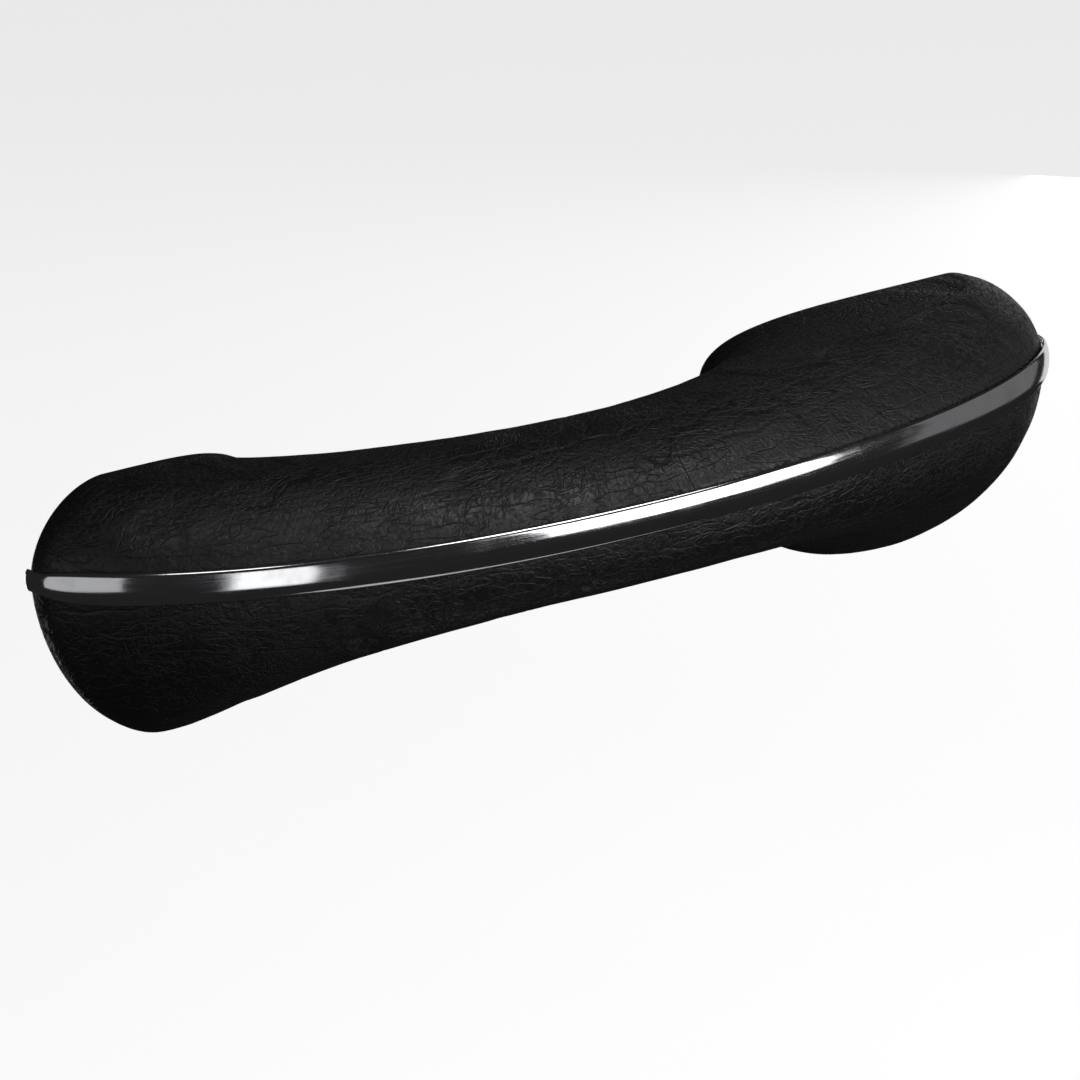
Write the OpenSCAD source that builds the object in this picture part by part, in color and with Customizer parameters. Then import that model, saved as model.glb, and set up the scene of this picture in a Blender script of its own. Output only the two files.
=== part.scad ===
// Padded armrest and pull grip for a vehicle door.
// X runs along the door, +Y points into the door, +Z is up, millimetres.
// The origin is on the door's face, midway between the two mounting bolts.

/* [Overall size] */
// Length along the door
length = 300; // [250:1:360]
// How far the grip stands off the door
depth = 62; // [50:1:75]
// Height of the trim strip's centre line above the mounting bolts
strip_rise = 12; // [11:0.5:14]

/* [Feet] */
// Length of the left foot where it meets the door
left_foot_len = 66; // [62:1:80]
// Length of the right foot where it meets the door
right_foot_len = 100; // [80:1:110]
// Height of the feet above the strip's centre line
foot_rise = 22; // [20:0.5:30]
// Height of the feet below the strip's centre line
foot_drop = 44; // [38:0.5:54]

/* [Grip] */
// Depth of the finger space between the door and the grip
finger_gap = 21; // [18:0.5:25]
// Height of the waist above the strip's centre line
waist_rise = 18.5; // [16:0.5:24]
// Height of the waist below the strip's centre line
waist_drop = 21; // [16:0.5:28]

/* [Cover and padding] */
// Thickness of the vinyl
vinyl_t = 0.9; // [0.7:0.1:1.2]
// How far the vinyl turns in behind the strip
tuck_len = 5; // [4:0.5:6]
// Width of the hem folded over the back of each foot
hem_w = 9; // [6:0.5:11]
// Thickness of the board that the hem is stapled to
board_t = 2; // [1.6:0.1:2.6]

/* [Steel core] */
// Thickness of the bowed rail
rail_t = 3; // [2:0.5:4]
// Height of the bowed rail
rail_h = 16; // [12:1:20]
// Distance from the front surface in to the rail
rail_in = 9; // [8:0.5:10]
// Thickness of the foot plates
plate_t = 1.5; // [1:0.1:2.5]
// Distance from each end in to its mounting bolt
bolt_in = 40; // [36:1:44]
// Bore of the threaded bushes, for an M6 bolt
bolt_bore = 5; // [4:0.1:6]
// Outer diameter of the threaded bushes
bush_d = 14; // [12:0.5:16]
// Length of the threaded bushes
bush_len = 12; // [9:0.5:14]

/* [Trim strip] */
// Height of the strip
strip_w = 8.4; // [7.4:0.2:10]
// How far the strip's crown stands off its edges
strip_crown = 1.6; // [1.5:0.1:2.4]
// Wall of the strip
strip_t = 0.5; // [0.4:0.1:0.6]
// Width of each sprung clip
clip_w = 7; // [5:0.5:8]

/* [Hidden] */
clear = 0.1;              // between pieces that are glued or seated
hem_set_back = 0.5;       // the staples' crowns lie in this space
wire_d = 0.4;             // staple wire
trim = 0.2;               // extra on the covers and foam, cut off flat at the feet
slot_half = 1.4;          // half the slit between the covers, behind the strip
rivet_d = 3;
rivet_head_d = 6;
rivet_land = 0.5;         // between the rivet heads and the bushes, and past the rivets
staple_w = 6;             // crown of a staple
staple_at = 0.62;         // the staples' place, as a share of the hem's width
clip_rivet_d = 1.6;
clip_t = 0.5;
clip_head_share = 0.45;   // of the height inside the strip
strip_edge = -0.15;       // the strip's edges stand this far off the front surface
strip_tip = 0.65;         // the strip's ends, as a share of its full section
lip_len = 2.4;            // how far the covers' front edges turn in beside the boards
pocket_depth = 12;        // room for the tip of each bolt past its bush
steps = 46;               // stations along the bow
fine = 7;                 // points on each quarter of a section

board_y = hem_set_back + vinyl_t + clear;   // back of the boards, from the door
plate_y = board_y + board_t;                // back of the foot plates
base_h = plate_y + plate_t;                 // straight base, below the bow
board_in = lip_len + 0.3;
plate_back_in = 6;        // plates start this far in from the end of the foot
bolt_spacing = length - 2 * bolt_in;
bolt_z = -strip_rise;     // the bolts' height, seen from the strip's centre line
rivet_off = bush_d / 2 + rivet_head_d / 2 + rivet_land;   // board rivets, above and below the bolts
plate_past_bolt = bush_d / 2 + 6;   // the plates run this far past the bolts, towards the waist
plate_below_bolt = rivet_off + rivet_head_d / 2 + rivet_land;
upstand_arc = 24;         // part of the bow, in degrees, that each plate's upstand follows

// Superellipse powers: 2 is an ellipse, more is squarer. Pairs are for the left and the right.
bow_px = [2.2, 1.9];
bow_py = [1.53, 2];
gap_p = 1.6;
upper_spread = 2;         // how quickly the waist grows into the feet, upper half
lower_spread = 2.9;
foot_peak = [0.34, 0.21];   // place of the feet's highest line, as a share of the way in
foot_front_p = [1.85, 1.7];   // power of the feet's upper half in front of that line
right_slimmer = 1;        // the right foot is this much less high, above and below

CLIPS = 6;

// ---- The bow in plan. Angle a runs from 0 at the left foot to 180 at the right. ----

function spow(v, e) = sign(v) * pow(abs(v), e);
function mix(a, b, w) = a + (b - a) * w;
function which(a) = a < 90 ? 0 : 1;

// Outer edge, where the strip lies
function front(a) = [
    -length / 2 * spow(cos(a), 2 / bow_px[which(a)]),
    -base_h - (depth - base_h) * pow(max(0, sin(a)), 2 / bow_py[which(a)])];

// Inner edge, round the finger space
function rear(a) =
    let (half = length / 2 - (cos(a) > 0 ? left_foot_len : right_foot_len))
    [-half * spow(cos(a), 2 / gap_p),
     -base_h - (finger_gap - base_h) * pow(max(0, sin(a)), 2 / gap_p)];

function span(a) = norm(rear(a) - front(a));
function inward(a) = (rear(a) - front(a)) / span(a);

// Plan point a distance s in from the outer edge, raised towards the door by lift
function plan(a, s, lift = 0) = front(a) + inward(a) * s + [0, lift];

// ---- Sections across the bow, each between its outer and its inner edge ----

// [height, place of the peak, power in front of the peak, power behind it]
function upper_form(a) = let (w = pow(abs(cos(a)), upper_spread), i = which(a))
    [mix(waist_rise, foot_rise - i * right_slimmer, w), mix(0.6, foot_peak[i], w),
     mix(1.5, foot_front_p[i], w), mix(3.4, 4.3, w)];
function lower_form(a) = let (w = pow(abs(cos(a)), lower_spread))
    [mix(waist_drop, foot_drop - which(a) * right_slimmer, w), 0.5, mix(2.9, 1.75, w), mix(2.35, 2.3, w)];
function form(a, up) = up ? upper_form(a) : lower_form(a);

// One point of a section, [distance in, height]; t is the angle round a quarter
function front_quarter(a, up, inset, t) = let (f = form(a, up), peak = f[1] * span(a))
    [peak - (peak - inset) * pow(cos(t), 2 / f[2]), (f[0] - inset) * pow(sin(t), 2 / f[2])];
function rear_quarter(a, up, inset, t) = let (f = form(a, up), peak = f[1] * span(a))
    [peak + (span(a) - peak - inset) * pow(cos(t), 2 / f[3]), (f[0] - inset) * pow(sin(t), 2 / f[3])];

// Wall of a section from height z0 at the front, over the peak, to height z1 behind
function wall(a, up, inset, z0, z1) =
    let (f = form(a, up), h = f[0] - inset,
         t0 = asin(pow(z0 / h, f[2] / 2)), t1 = asin(pow(z1 / h, f[3] / 2)))
    concat([for (i = [0:fine]) front_quarter(a, up, inset, mix(t0, 90, i / fine))],
           [for (i = [1:fine]) rear_quarter(a, up, inset, mix(90, t1, i / fine))]);

// Places section points in space; the lower half hangs down
function place(points, a, up, lift) = [for (p = points) let (q = plan(a, p[0], lift))
    [q[0], q[1], up ? p[1] : -p[1]]];

function reversed(v) = [for (i = [len(v) - 1:-1:0]) v[i]];

// Closed solid through a row of rings with equal counts of points. Paired caps join
// each point to its partner from the other end of the ring, so the ends may be bent.
module loft(rings, paired, flip) {
    n = len(rings[0]);
    last = (len(rings) - 1) * n;
    sides = [for (k = [0:len(rings) - 2], i = [0:n - 1])
        let (a = k * n + i, b = k * n + (i + 1) % n) each [[a, b, b + n], [a, b + n, a + n]]];
    half = n / 2;
    caps = paired
        ? [for (i = [0:half - 2]) let (j = n - 1 - i) each [
            [i, j, j - 1], [i, j - 1, i + 1],
            [last + i, last + j - 1, last + j], [last + i, last + i + 1, last + j - 1]]]
        : [[for (i = [n - 1:-1:0]) i], [for (i = [0:n - 1]) last + i]];
    faces = concat(sides, caps);
    polyhedron(points = [for (r = rings) each r],
        faces = flip ? [for (f = faces) reversed(f)] : faces);
}

// Everything from distance y off the door, and on past its face
module door_side(y) {
    translate([-length, -y, -2 * foot_drop]) cube([2 * length, 2 * y, 4 * foot_drop]);
}

// ---- Soft pieces ----

function cover_ring(a, up, lift, tuck) = concat(
    [[tuck, slot_half]],
    wall(a, up, 0, slot_half, clear / 2),
    reversed(wall(a, up, vinyl_t, slot_half + vinyl_t, clear / 2)),
    [[tuck, slot_half + vinyl_t]]);

// Each half of the hem is drawn in towards its own centre, which parts them a little
function hem_centre(a, up) = let (p = plan(a, span(a) / 2)) [p[0], (up ? 3 : -3) * slot_half];

// Moves a point of the foot's outline a distance d towards a centre
function pulled(p, c, d) = let (v = c - [p[0], p[2]]) [p[0] + v[0] * d / norm(v), p[2] + v[1] * d / norm(v)];

// The ring at the fold, or at the hem's edge when d is the hem's width
function hem_ring(a, up, d) =
    let (ring = place(cover_ring(a, up, base_h, lip_len), a, up, 0), n = len(ring), c = hem_centre(a, up))
    [for (i = [0:n - 1]) let (q = pulled(ring[i], c, d), y = i < n / 2 ? trim - hem_set_back : -hem_set_back - vinyl_t)
        [q[0], y, q[1]]];

function cover_rings(up) =
    let (neck = base_h - plate_y - 2 * clear)
    concat(
        [hem_ring(0, up, hem_w), hem_ring(0, up, 0.001)],
        [place(cover_ring(0, up, neck, lip_len), 0, up, neck)],
        [for (k = [0:steps]) let (a = 180 * k / steps) place(cover_ring(a, up, 0, tuck_len), a, up, 0)],
        [place(cover_ring(180, up, neck, lip_len), 180, up, neck)],
        [hem_ring(180, up, 0.001), hem_ring(180, up, hem_w)]);

// The hem is made a little proud and trimmed to one flat face
module cover(up) {
    difference() {
        loft(cover_rings(up), true, !up);
        door_side(hem_set_back);
    }
}

// Foam section: the slot for the covers' tucks, then the rail's slot, then the parting face
function padding_ring(a, up) =
    let (skin = vinyl_t + clear, slot = slot_half + vinyl_t + clear, half_rail = rail_h / 2 + clear,
         s0 = rail_in - clear, s1 = rail_in + rail_t + plate_t + clear)
    concat(
        [[s1, clear / 2], [s1, half_rail], [s0, half_rail], [s0, slot]],
        wall(a, up, skin, slot, clear / 2));

// The foam is made a little long and cut off flat where the plates lie
module padding(up) {
    difference() {
        loft(concat([place(padding_ring(0, up), 0, up, trim)],
            [for (k = [0:steps]) let (a = 180 * k / steps) place(padding_ring(a, up), a, up, 0)],
            [place(padding_ring(180, up), 180, up, trim)]), false, !up);
        door_side(base_h);
    }
}

module upper_cover() {
    color([0.09, 0.09, 0.09]) on_strip_line() cover(true);
}

module lower_cover() {
    color([0.08, 0.08, 0.08]) on_strip_line() cover(false);
}

module upper_padding() {
    color([0.85, 0.78, 0.55]) on_strip_line() padding(true);
}

module lower_padding() {
    color([0.8, 0.73, 0.5]) on_strip_line() difference() {
        padding(false);
        for (side = [-1, 1]) bolt_axis(side) {
            cylinder(h = bush_len + clear, d = bush_d + 2 * clear, $fn = 48);
            cylinder(h = bush_len + pocket_depth, d = bolt_bore + 2, $fn = 48);
        }
    }
}

// ---- Steel core ----

// Lifts the strip's centre line to its height above the bolts
module on_strip_line() {
    translate([0, 0, strip_rise]) children();
}

// Local Z runs from the door's face out along a bolt's axis; side is -1 left, 1 right
module bolt_axis(side) {
    translate([side * bolt_spacing / 2, 0, bolt_z]) rotate([90, 0, 0]) children();
}

// Bar that follows the bow from angle a0 to a1, between two distances from its front
module bow_bar(s0, s1, h, a0, a1, lift = 0) {
    angles = [for (k = [0:steps]) let (a = 180 * k / steps) if (a >= a0 && a <= a1) a];
    translate([0, 0, -h / 2]) linear_extrude(h) polygon(concat(
        a0 == 0 && lift > 0 ? [plan(0, s0, lift)] : [],
        [for (a = angles) plan(a, s0)],
        a1 == 180 && lift > 0 ? [plan(180, s0, lift), plan(180, s1, lift)] : [],
        [for (a = reversed(angles)) plan(a, s1)],
        a0 == 0 && lift > 0 ? [plan(0, s1, lift)] : []));
}

module core_rail() {
    color([0.35, 0.36, 0.38]) on_strip_line() bow_bar(rail_in, rail_in + rail_t, rail_h, 0, 180);
}

// Plate behind the board, with an upstand welded along the rail's inner face
module foot_plate(side) {
    bolt_x = side * bolt_spacing / 2;
    outer_x = side * (length / 2 - plate_back_in);
    inner_x = bolt_x - side * plate_past_bolt;
    from = side < 0 ? 0 : 180 - upstand_arc;
    difference() {
        union() {
            intersection() {
                translate([min(outer_x, inner_x), -base_h, bolt_z - plate_below_bolt])
                    cube([abs(outer_x - inner_x), plate_t, plate_below_bolt - bolt_z + rail_h / 2]);
                foot_slab(side, board_in, plate_y - clear, plate_t + 2 * clear);
            }
            bow_bar(rail_in + rail_t, rail_in + rail_t + plate_t, rail_h, from, from + upstand_arc, plate_t / 2);
        }
        bolt_axis(side) cylinder(h = depth / 2, d = bush_d, $fn = 48);
        rivet_places(side) cylinder(h = depth / 4, d = rivet_d, $fn = 32);
    }
}

module left_foot_plate() {
    color([0.4, 0.41, 0.43]) on_strip_line() foot_plate(-1);
}

module right_foot_plate() {
    color([0.4, 0.41, 0.43]) on_strip_line() foot_plate(1);
}

module bolt_bush(side) {
    bolt_axis(side) difference() {
        cylinder(h = bush_len, d = bush_d, $fn = 48);
        translate([0, 0, -1]) cylinder(h = bush_len + 2, d = bolt_bore, $fn = 48);
    }
}

module left_bolt_bush() {
    color([0.7, 0.66, 0.5]) on_strip_line() bolt_bush(-1);
}

module right_bolt_bush() {
    color([0.7, 0.66, 0.5]) on_strip_line() bolt_bush(1);
}

// ---- Foot boards and what holds them ----

// Two rivets a foot, above and below the bolt
module rivet_places(side) {
    for (up = [-1, 1]) translate([0, 0, up * rivet_off]) bolt_axis(side) children();
}

module foot_outline(a, inset) {
    polygon(concat(
        [for (p = place(wall(a, true, inset, clear, clear), a, true, 0)) [p[0], p[2]]],
        reversed([for (p = place(wall(a, false, inset, clear, clear), a, false, 0)) [p[0], p[2]]])));
}

// Slab with the outline of a foot, inset, from distance y off the door
module foot_slab(side, inset, y, t) {
    translate([0, -y, 0]) rotate([90, 0, 0]) linear_extrude(t) foot_outline(side < 0 ? 0 : 180, inset);
}

module foot_board(side) {
    difference() {
        foot_slab(side, board_in, board_y, board_t);
        bolt_axis(side) cylinder(h = depth / 2, d = bush_d + 2 * clear, $fn = 48);
        rivet_places(side) cylinder(h = depth / 4, d = rivet_d, $fn = 32);
    }
}

module left_foot_board() {
    color([0.45, 0.32, 0.2]) on_strip_line() foot_board(-1);
}

module right_foot_board() {
    color([0.45, 0.32, 0.2]) on_strip_line() foot_board(1);
}

module board_rivets(side) {
    rivet_places(side) {
        translate([0, 0, board_y]) cylinder(h = board_t + plate_t, d = rivet_d, $fn = 32);
        translate([0, 0, wire_d]) cylinder(h = board_y - wire_d, d1 = rivet_head_d - 1, d2 = rivet_head_d, $fn = 32);
    }
}

module left_board_rivets() {
    color([0.6, 0.6, 0.6]) on_strip_line() board_rivets(-1);
}

module right_board_rivets() {
    color([0.6, 0.6, 0.6]) on_strip_line() board_rivets(1);
}

// One staple across the hem: a crown and two legs, local Z into the board
module staple() {
    translate([-staple_w / 2, -wire_d / 2, 0]) cube([staple_w, wire_d, wire_d]);
    for (end = [-1, 1]) translate([end * (staple_w - wire_d) / 2 - wire_d / 2, -wire_d / 2, wire_d])
        cube([wire_d, wire_d, vinyl_t + clear + board_t / 2]);
}

// Staples in a ring, halfway across the hem
module hem_staples(side) {
    a = side < 0 ? 0 : 180;
    for (up = [true, false]) {
        c = hem_centre(a, up);
        row = place(wall(a, up, 0, slot_half, clear), a, up, 0);
        for (i = [2:2:2 * fine - 2]) {
            q = pulled(row[i], c, hem_w * staple_at);
            v = row[i + 1] - row[i - 1];
            translate([q[0], -hem_set_back + wire_d, q[1]]) rotate([90, 0, 0])
                rotate([0, 0, atan2(v[2], v[0])]) staple();
        }
    }
}

module left_hem_staples() {
    color([0.75, 0.75, 0.75]) on_strip_line() hem_staples(-1);
}

module right_hem_staples() {
    color([0.75, 0.75, 0.75]) on_strip_line() hem_staples(1);
}

// ---- Trim strip and its clips ----

// Crowned channel section, [distance in, height], from its lower edge to its upper edge
function strip_arc(half, crown) = [for (i = [0:2 * fine]) let (t = -90 + 90 * i / fine)
    [strip_edge - crown * cos(t), half * sin(t)]];
strip_section = concat(strip_arc(strip_w / 2, strip_crown),
    reversed(strip_arc(strip_w / 2 - strip_t, strip_crown - strip_t)));

// The section narrows over the last few millimetres before each end
function taper(a) = mix(1, strip_tip, pow(abs(cos(a)), 60));
function strip_ring(a, lift) = [for (p = strip_section)
    let (q = plan(a, strip_edge + (p[0] - strip_edge) * taper(a), lift)) [q[0], q[1], p[1] * taper(a)]];

module trim_strip() {
    end_lift = base_h - hem_set_back;
    rings = concat([strip_ring(0, end_lift)],
        [for (k = [0:steps]) strip_ring(180 * k / steps, 0)],
        [strip_ring(180, end_lift)]);
    color([0.8, 0.81, 0.83]) on_strip_line() loft(rings, true, false);
}

function clip_angle(i) = 180 * (i - 0.5) / CLIPS;

// Direction of the front edge at angle a
function heading(a) = let (v = front(a + 0.5) - front(a - 0.5)) atan2(v[1], v[0]);

// Distances square in from the edge at a clip to the line that runs s in from the front edge,
// for every part of that line within half of the clip's middle
function reach(i, s, half) = let (a = clip_angle(i), along = [cos(heading(a)), sin(heading(a))])
    [for (d = [-clip_angle(1):0.5:clip_angle(1)]) let (v = plan(a + d, s) - front(a))
        if (abs(v * along) <= half) v * [-along[1], along[0]]];
// The strip's inner face, where the clip's head reaches highest
inner_face = strip_edge - (strip_crown - strip_t) * sqrt(1 - clip_head_share * clip_head_share);
function clip_head_x(i) = max(reach(i, inner_face, clip_w / 2 + clear)) + clear;
function clip_foot_x(i) = min(reach(i, rail_in, clip_w / 2 + clear)) - clear - clip_t;

// Local X runs square in from the front edge at a clip
module at_clip(i) {
    a = clip_angle(i);
    p = front(a);
    translate([p[0], p[1], 0]) rotate([0, 0, heading(a) + 90]) children();
}

// Spring clip: a head inside the strip, a leg through the slit and a foot on the rail
module trim_clip(i) {
    head_x = clip_head_x(i);
    head_half = (strip_w / 2 - strip_t) * clip_head_share;
    foot_x = clip_foot_x(i);
    foot_half = slot_half + vinyl_t - clear;
    color([0.55, 0.57, 0.62]) on_strip_line() at_clip(i) difference() {
        union() {
            translate([head_x, -clip_w / 2, -head_half]) cube([clip_t, clip_w, 2 * head_half]);
            translate([head_x, -clip_w / 2, -clip_t / 2]) cube([foot_x - head_x + clip_t, clip_w, clip_t]);
            translate([foot_x, -clip_w / 2, -foot_half]) cube([clip_t, clip_w, 2 * foot_half]);
        }
        translate([foot_x - clip_w / 2, 0, 0]) rotate([0, 90, 0]) cylinder(h = clip_w, d = clip_rivet_d, $fn = 24);
    }
}

module trim_clip_1() { trim_clip(1); }
module trim_clip_2() { trim_clip(2); }
module trim_clip_3() { trim_clip(3); }
module trim_clip_4() { trim_clip(4); }
module trim_clip_5() { trim_clip(5); }
module trim_clip_6() { trim_clip(6); }

module clip_rivets() {
    color([0.65, 0.65, 0.62]) on_strip_line()
        for (i = [1:CLIPS]) at_clip(i) translate([clip_foot_x(i), 0, 0])
            rotate([0, 90, 0]) {
                cylinder(h = min(reach(i, rail_in, clip_rivet_d)) - clear - clip_foot_x(i), d = clip_rivet_d, $fn = 24);
                translate([0, 0, -clip_rivet_d / 3]) cylinder(h = clip_rivet_d / 3, d = 2 * clip_rivet_d, $fn = 24);
            }
}

upper_cover();
lower_cover();
upper_padding();
lower_padding();
core_rail();
left_foot_plate();
right_foot_plate();
left_bolt_bush();
right_bolt_bush();
left_foot_board();
right_foot_board();
left_board_rivets();
right_board_rivets();
left_hem_staples();
right_hem_staples();
trim_strip();
trim_clip_1();
trim_clip_2();
trim_clip_3();
trim_clip_4();
trim_clip_5();
trim_clip_6();
clip_rivets();
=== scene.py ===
# %% [markdown]
# # A padded door armrest, dressed around its CAD model
# The object is a bowed armrest and pull grip: foam on a steel rail, two black vinyl covers, and a
# bright strip over the line where the covers meet. The CAD model already holds every piece at its
# true size, so this notebook never moves anything. It loads that model as a frame, builds finer
# covers, foam and strip in the same place, and gives all the other pieces real finishes.

# %% Load the frame
import math

import bmesh
import bpy
import numpy as np
from mathutils import Matrix, Vector, noise


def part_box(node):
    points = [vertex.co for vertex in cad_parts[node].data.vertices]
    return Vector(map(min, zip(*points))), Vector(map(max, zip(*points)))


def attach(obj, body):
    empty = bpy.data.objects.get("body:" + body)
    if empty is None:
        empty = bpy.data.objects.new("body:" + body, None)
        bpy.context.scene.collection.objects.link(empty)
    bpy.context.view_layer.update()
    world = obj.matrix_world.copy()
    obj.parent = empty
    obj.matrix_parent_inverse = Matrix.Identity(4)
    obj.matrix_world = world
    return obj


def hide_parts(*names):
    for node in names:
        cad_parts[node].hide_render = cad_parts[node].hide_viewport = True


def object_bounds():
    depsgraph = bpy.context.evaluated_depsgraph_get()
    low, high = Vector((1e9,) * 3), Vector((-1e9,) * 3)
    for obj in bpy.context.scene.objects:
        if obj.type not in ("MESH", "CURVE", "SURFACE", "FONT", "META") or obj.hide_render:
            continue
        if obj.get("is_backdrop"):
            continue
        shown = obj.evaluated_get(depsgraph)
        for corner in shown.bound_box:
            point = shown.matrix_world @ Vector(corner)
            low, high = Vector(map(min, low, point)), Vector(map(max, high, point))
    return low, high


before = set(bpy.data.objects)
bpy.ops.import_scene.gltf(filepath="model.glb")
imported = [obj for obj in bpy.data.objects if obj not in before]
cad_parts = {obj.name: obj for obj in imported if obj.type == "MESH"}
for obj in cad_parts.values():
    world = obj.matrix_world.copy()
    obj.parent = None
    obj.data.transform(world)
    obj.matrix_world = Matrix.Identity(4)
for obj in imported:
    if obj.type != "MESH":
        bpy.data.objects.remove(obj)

cad_low, cad_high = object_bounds()
print("CAD box, mm:", [round(1000 * (b - a), 1) for a, b in zip(cad_low, cad_high)])

# %% [markdown]
# ## Sizes
# A dressed model that repeats its sizes by hand drifts away from the CAD as soon as one changes.
# So each size that a CAD piece shows is measured from that piece. Only what no box can show, such
# as the waist of the grip and the roundness of its sections, is written out, in metres.

# %% Measure the frame
MM = 0.001
STRIP_OUT = 1.75 * MM      # the strip's crown stands this far off the covers' front edge
TIP_OUT = 1.19 * MM        # and this far at its narrower ends
BOARD_IN = 2.7 * MM        # the boards lie this far inside the outline of a foot

strip_low, strip_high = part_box("trim_strip")
upper_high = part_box("upper_cover")[1]
lower_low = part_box("lower_cover")[0]
LINE = (strip_low.z + strip_high.z) / 2
HALF = strip_high.x - TIP_OUT
DEPTH = -strip_low.y - STRIP_OUT
STRIP_HALF = (strip_high.z - strip_low.z) / 2
FOOT_RISE = upper_high.z - LINE
FOOT_DROP = LINE - lower_low.z
BASE = -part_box("core_rail")[1].y


def board_width(node):
    """Length along the door of the foot that a board lies in."""
    low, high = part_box(node)
    return high.x - low.x + 2 * BOARD_IN


LEFT_FOOT = board_width("left_foot_board")
RIGHT_FOOT = board_width("right_foot_board")
print("feet, mm:", round(LEFT_FOOT / MM, 1), round(RIGHT_FOOT / MM, 1))
print("strip line at, mm:", round(LINE / MM, 1))

# %% Sizes that no box shows
FINGER_GAP = 21 * MM       # depth of the finger space
WAIST_RISE = 18.5 * MM
WAIST_DROP = 21 * MM
VINYL = 0.9 * MM
SLIT = 1.4 * MM            # half the slit between the covers, behind the strip
TUCK = 5 * MM              # the covers turn in this far behind the strip
LIP = 2.4 * MM             # and this far beside the boards
HEM_WIDTH = 9 * MM
HEM_BACK = 0.5 * MM        # the hem's face, from the door
RAIL_IN = 9 * MM
RAIL_SLOT = 4.7 * MM       # rail and upstand together, with their clearance
RAIL_HALF = 8.1 * MM

# %% [markdown]
# ## Camera
# The armrest is seen from the left of the door and a little above, through a long lens, so its
# two ends look almost equally large. A camera is easiest to keep right when it is written as a
# direction, a small roll and a distance, and its matrix is worked out from those.

# %% Place the camera
VIEW_TURN = math.radians(-36.03)
VIEW_RISE = math.radians(16.99)
VIEW_ROLL = math.radians(-2.13)
VIEW_DISTANCE = 3.125
PIVOT = Vector((0, -0.025, LINE))
OFF_CENTRE = (-0.01305, -0.01559)   # picture's middle from the pivot, right and up


def direction(turn, rise):
    """Unit vector that faces out from the door, turned and raised by angles in radians."""
    return Vector((math.sin(turn) * math.cos(rise), -math.cos(turn) * math.cos(rise), math.sin(rise)))


back = direction(VIEW_TURN, VIEW_RISE)
level = Vector((math.cos(VIEW_TURN), math.sin(VIEW_TURN), 0))
upright = back.cross(level)
right = level * math.cos(VIEW_ROLL) + upright * math.sin(VIEW_ROLL)
up = back.cross(right)
target = PIVOT + right * OFF_CENTRE[0] + up * OFF_CENTRE[1]

camera = bpy.data.objects.new("camera", bpy.data.cameras.new("camera"))
bpy.context.scene.collection.objects.link(camera)
facing = Matrix((right, up, back)).transposed().to_4x4()
camera.matrix_world = Matrix.Translation(target + back * VIEW_DISTANCE) @ facing
camera.data.lens = 428
camera.data.sensor_width = 36
camera.data.clip_start = 0.1
camera.data.clip_end = 50
bpy.context.scene.camera = camera
print("camera at", [round(x, 3) for x in camera.location])

# %% [markdown]
# ## Node helpers
# Every finish below is a small network of nodes. Written out in full, each node takes four or
# five lines, and the idea drowns. One helper makes a node, sets it and plugs its inputs, and
# another opens a node group, so that an effect is built once and used by many finishes.


# %% Make nodes and groups
def node(tree, kind, inputs=None, **settings):
    """A new node. inputs maps a socket's name or number to a value or to another node's output."""
    made = tree.nodes.new(kind)
    for name, value in settings.items():
        setattr(made, name, value)
    for name, value in (inputs or {}).items():
        if isinstance(value, bpy.types.NodeSocket):
            tree.links.new(value, made.inputs[name])
        else:
            made.inputs[name].default_value = value
    return made


def maths(tree, operation, a, b=0.0, clamp=False):
    """Output of a Math node."""
    return node(tree, "ShaderNodeMath", {0: a, 1: b}, operation=operation, use_clamp=clamp).outputs[0]


def ramp(tree, value, low, high, to_low=0.0, to_high=1.0):
    """Output of a smooth Map Range node."""
    inputs = {0: value, 1: low, 2: high, 3: to_low, 4: to_high}
    return node(tree, "ShaderNodeMapRange", inputs, interpolation_type="SMOOTHSTEP").outputs[0]


def blend_colours(tree, factor, a, b):
    """Output of a colour mix, a where factor is 0 and b where it is 1."""
    inputs = {0: factor, 6: a, 7: b}
    return node(tree, "ShaderNodeMix", inputs, data_type="RGBA").outputs[2]


def new_group(name, inputs, outputs):
    """An empty node group: its tree, its input node and its output node."""
    tree = bpy.data.node_groups.new(name, "ShaderNodeTree")
    for socket, kind in inputs.items():
        tree.interface.new_socket(socket, in_out="INPUT", socket_type="NodeSocket" + kind)
    for socket, kind in outputs.items():
        tree.interface.new_socket(socket, in_out="OUTPUT", socket_type="NodeSocket" + kind)
    return tree, tree.nodes.new("NodeGroupInput"), tree.nodes.new("NodeGroupOutput")


def use_group(tree, group, inputs):
    """Places a node group in a material's tree."""
    made = node(tree, "ShaderNodeGroup", node_tree=group)
    for name, value in inputs.items():
        if isinstance(value, bpy.types.NodeSocket):
            tree.links.new(value, made.inputs[name])
        else:
            made.inputs[name].default_value = value
    return made.outputs


# %% [markdown]
# ## Shared effects
# Five effects return in many finishes. Crease lines are the level line of a noise: where the
# noise crosses its middle value, it makes long wandering lines that never cross in a grid. A
# crack net is the edges of warped cells, which do meet, as the cracks of aged vinyl do.
# Grain is a field of rounded cells. Patches are soft blotches that vary gloss and colour, and
# streaks are patches pulled long, as drawing, rolling or polishing leaves them.

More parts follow.
